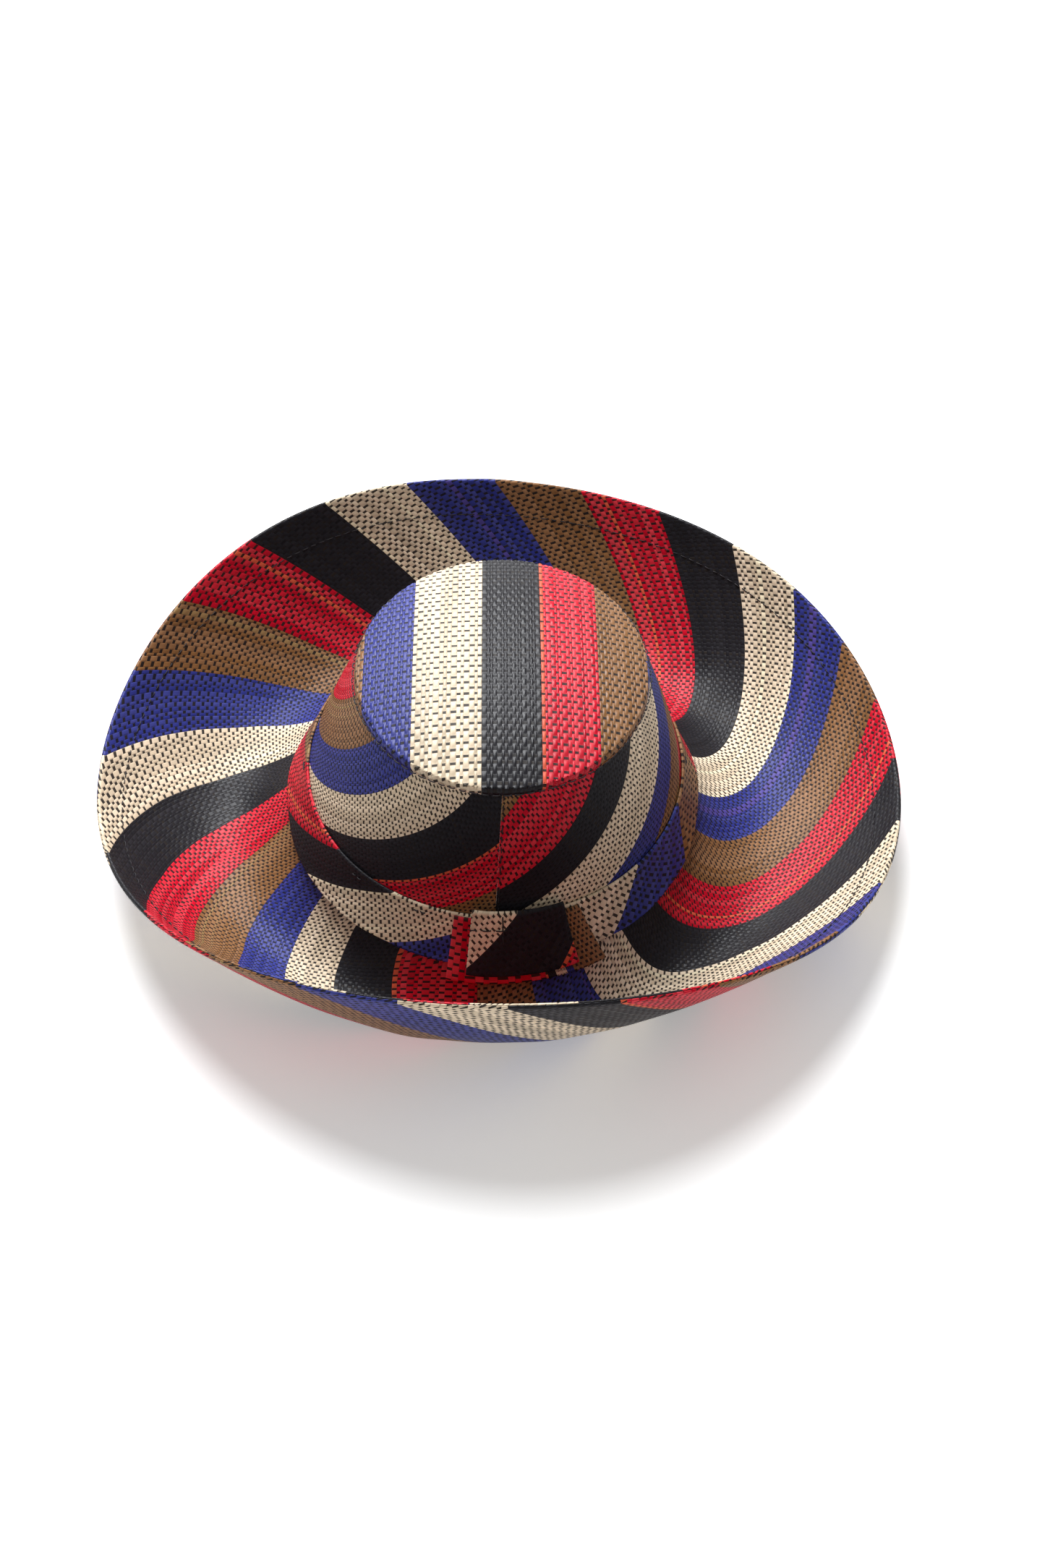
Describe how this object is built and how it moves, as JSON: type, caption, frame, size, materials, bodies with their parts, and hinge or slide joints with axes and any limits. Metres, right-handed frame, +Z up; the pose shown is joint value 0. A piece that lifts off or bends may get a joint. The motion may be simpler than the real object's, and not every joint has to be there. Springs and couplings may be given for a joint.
{
  "type": "wide-brimmed woven sun hat",
  "caption": "Wide-brimmed sun hat of striped hand-woven raffia, with an oval crown, a folded band and knot, and a wired brim turned up at front and back.",
  "frame": {"origin": "centre of the head opening, on the line where the crown meets the brim", "axes": "+Z up through the crown, +Y towards the back of the hat, +X to the right seen from the front"},
  "size_m": [0.3508, 0.3468, 0.1039],
  "materials": {
    "raffia_crown": "plain-woven raffia in straight stripes of cream, black, red, brown and blue, satin sheen",
    "raffia_brim": "plain-woven raffia in sweeping stripes of cream, black, red, brown and blue, satin sheen",
    "raffia_band": "folded plain-woven raffia, striped, satin sheen",
    "wire": "soft drawn steel wire",
    "sleeve": "pressed sleeve, dull",
    "cotton": "ribbed cotton tape, matte",
    "dark_thread": "waxed sewing thread",
    "pale_thread": "cotton sewing thread"
  },
  "bodies": {
    "root": {"crown_tip": "raffia_crown", "crown_side_left": "raffia_crown", "crown_side_right": "raffia_crown", "brim_upper": "raffia_brim", "brim_lower": "raffia_brim", "rim_wire": "wire", "wire_sleeve": "sleeve", "hat_band": "raffia_band", "knot_lower": "raffia_band", "knot_fold": "raffia_band", "sweatband": "cotton", "sweatband_tab": "cotton", "tip_stitches": "dark_thread", "front_seam_stitches": "dark_thread", "back_seam_stitches": "dark_thread", "upper_seam_stitches": "dark_thread", "lower_seam_stitches": "dark_thread", "head_line_stitches": "dark_thread", "rim_stitches": "dark_thread", "band_tacks": "dark_thread", "knot_tacks": "dark_thread", "sweatband_stitches": "pale_thread"}
  },
  "joints": []
}
